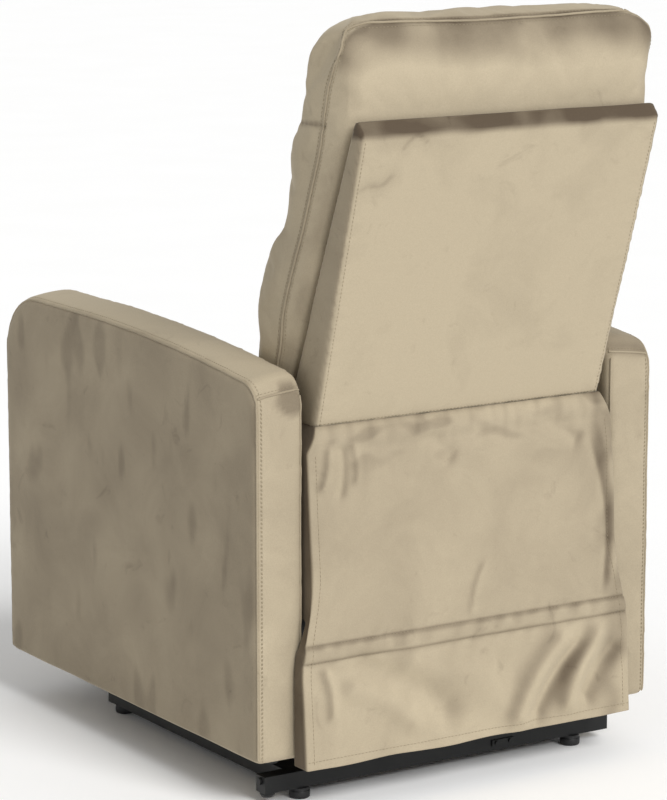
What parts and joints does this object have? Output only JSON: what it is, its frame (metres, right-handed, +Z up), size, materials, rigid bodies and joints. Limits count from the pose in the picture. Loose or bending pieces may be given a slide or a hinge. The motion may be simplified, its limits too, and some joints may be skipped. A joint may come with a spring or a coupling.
{
  "type": "lift recliner chair",
  "caption": "Upholstered lift recliner chair on a steel base with lift linkage, reclining back, folding footrest, arms, rear panel, hanging skirt and handset.",
  "frame": {"origin": "on the floor, under the middle of the chair's outline", "axes": "+Z up, the sitter faces -Y, +X is the sitter's left"},
  "size_m": [0.6935, 0.887, 1.106],
  "materials": {
    "steel_black": "black powder coat, satin",
    "plastic_black": "moulded, fine grain",
    "steel_zinc": "zinc plated",
    "plywood": "unfinished plywood",
    "velvet": "short pile velvet, taupe",
    "plastic_grey": "soft touch rubberised"
  },
  "bodies": {
    "base": {"base_rear_crossbar": "steel_black", "base_front_crossbar": "steel_black", "base_rail_left": "steel_black", "base_rail_right": "steel_black", "levelling_feet": "plastic_black", "tube_end_plugs": "plastic_black", "bar_end_fittings": "steel_black", "cable_clamp": "steel_black", "base_pivot_brackets": "steel_black", "lift_motor_bracket": "steel_black", "lift_motor": "plastic_black"},
    "rear_links": {"rear_lift_link_left": "steel_black", "rear_lift_link_right": "steel_black", "lift_torque_tube": "steel_black"},
    "front_links": {"front_lift_links": "steel_black"},
    "lift_rod_slide": {"lift_rod": "steel_zinc"},
    "chair_frame": {"mech_plate_left": "steel_black", "mech_plate_right": "steel_black", "cross_tube_front": "steel_black", "cross_tube_rear": "steel_black", "seat_slide_rails": "steel_zinc", "arm_cover_left": "velvet", "arm_cover_right": "velvet", "arm_frame_left": "plywood", "arm_frame_right": "plywood", "arm_bolts": "steel_zinc", "arm_glides": "plastic_black", "back_motor": "plastic_black", "control_box": "plastic_black", "handset_pocket": "velvet", "skirt_lower": "velvet", "skirt_upper": "velvet"},
    "seat": {"seat_side_plates": "steel_black", "seat_frame": "plywood", "seat_springs": "steel_zinc", "seat_cushion": "velvet", "footrest_motor": "plastic_black"},
    "footrest_rod_slide": {"footrest_rod": "steel_zinc"},
    "drive_links": {"footrest_drive_links": "steel_black", "footrest_torque_tube": "steel_black"},
    "guide_links": {"footrest_guide_links": "steel_black"},
    "long_links": {"footrest_long_links": "steel_black"},
    "cross_links": {"footrest_cross_links": "steel_black"},
    "ottoman": {"footrest_brackets": "steel_black", "footrest_board": "plywood", "footrest_pad": "velvet"},
    "backrest": {"back_frame": "plywood", "back_springs": "steel_zinc", "back_hinge_plates": "steel_black", "back_crank": "steel_black", "back_panel": "velvet", "back_cushion": "velvet"},
    "back_rod_slide": {"back_rod": "steel_zinc"},
    "handset": {"handset": "plastic_black"},
    "key_lift": {"button_lift": "plastic_grey"},
    "key_lower": {"button_lower": "plastic_grey"},
    "key_feet": {"button_feet": "plastic_grey"},
    "key_back": {"button_back": "plastic_grey"}
  },
  "joints": [
    {"name": "lift", "type": "hinge", "parent": "base", "child": "rear_links", "pos_m": [0, -0.11, 0.072], "axis": [1, 0, 0], "range_deg": [0, 52]},
    {"name": "front_link_turn", "type": "hinge", "parent": "base", "child": "front_links", "pos_m": [0, -0.167, 0.05], "axis": [1, 0, 0], "range_deg": [0, 61.5]},
    {"name": "chair_tilt", "type": "hinge", "parent": "rear_links", "child": "chair_frame", "pos_m": [0, 0.212, 0.146], "axis": [-1, 0, 0], "range_deg": [0, 28.3]},
    {"name": "lift_rod_run", "type": "slide", "parent": "base", "child": "lift_rod_slide", "axis": [0, -0.9687, 0.2482], "range_m": [0, 0.0702]},
    {"name": "recline", "type": "hinge", "parent": "chair_frame", "child": "backrest", "pos_m": [0, 0.185, 0.4], "axis": [-1, 0, 0], "range_deg": [0, 35], "deforming": ["skirt_upper"]},
    {"name": "seat_run", "type": "slide", "parent": "chair_frame", "child": "seat", "axis": [0, -1, 0], "range_m": [0, 0.0401]},
    {"name": "back_rod_run", "type": "slide", "parent": "chair_frame", "child": "back_rod_slide", "axis": [0, -0.9425, -0.3342], "range_m": [0, 0.0542]},
    {"name": "footrest", "type": "hinge", "parent": "seat", "child": "drive_links", "pos_m": [0, -0.319, 0.344], "axis": [-1, 0, 0], "range_deg": [0, 114]},
    {"name": "footrest_rod_run", "type": "slide", "parent": "seat", "child": "footrest_rod_slide", "axis": [0, -1, 0], "range_m": [0, 0.0705]},
    {"name": "guide_link_turn", "type": "hinge", "parent": "seat", "child": "guide_links", "pos_m": [0, -0.364, 0.346], "axis": [-1, 0, 0], "range_deg": [0, 113.8]},
    {"name": "long_link_turn", "type": "hinge", "parent": "drive_links", "child": "long_links", "pos_m": [0, -0.151, 0.222], "axis": [1, 0, 0], "range_deg": [0, 75.6]},
    {"name": "cross_link_turn", "type": "hinge", "parent": "guide_links", "child": "cross_links", "pos_m": [0, -0.186, 0.235], "axis": [1, 0, 0], "range_deg": [0, 55.7]},
    {"name": "footrest_turn", "type": "hinge", "parent": "long_links", "child": "ottoman", "pos_m": [0, -0.371, 0.158], "axis": [-1, 0, 0], "range_deg": [0, 48.4]},
    {"name": "handset_lift_out", "type": "slide", "parent": "chair_frame", "child": "handset", "axis": [0, 0, 1], "range_m": [0, 0.12]},
    {"name": "press_lift", "type": "slide", "parent": "handset", "child": "key_lift", "axis": [1, 0, 0], "range_m": [0, 0.001], "stiffness_N_per_m": 400},
    {"name": "press_lower", "type": "slide", "parent": "handset", "child": "key_lower", "axis": [1, 0, 0], "range_m": [0, 0.001], "stiffness_N_per_m": 400},
    {"name": "press_feet", "type": "slide", "parent": "handset", "child": "key_feet", "axis": [1, 0, 0], "range_m": [0, 0.001], "stiffness_N_per_m": 400},
    {"name": "press_back", "type": "slide", "parent": "handset", "child": "key_back", "axis": [1, 0, 0], "range_m": [0, 0.001], "stiffness_N_per_m": 400}
  ],
  "couplings": [
    {"joint": "front_link_turn", "follows": "lift", "ratio": 1.1811},
    {"joint": "chair_tilt", "follows": "lift", "ratio": 0.5426},
    {"joint": "lift_rod_run", "follows": "lift", "m_per_rad": 0.077283},
    {"joint": "seat_run", "follows": "recline", "m_per_rad": 0.065481},
    {"joint": "back_rod_run", "follows": "recline", "m_per_rad": 0.088607},
    {"joint": "footrest_rod_run", "follows": "footrest", "m_per_rad": 0.035407},
    {"joint": "guide_link_turn", "follows": "footrest", "ratio": 0.99734},
    {"joint": "long_link_turn", "follows": "footrest", "ratio": 0.66268},
    {"joint": "cross_link_turn", "follows": "footrest", "ratio": 0.48799},
    {"joint": "footrest_turn", "follows": "footrest", "ratio": 0.42392}
  ]
}
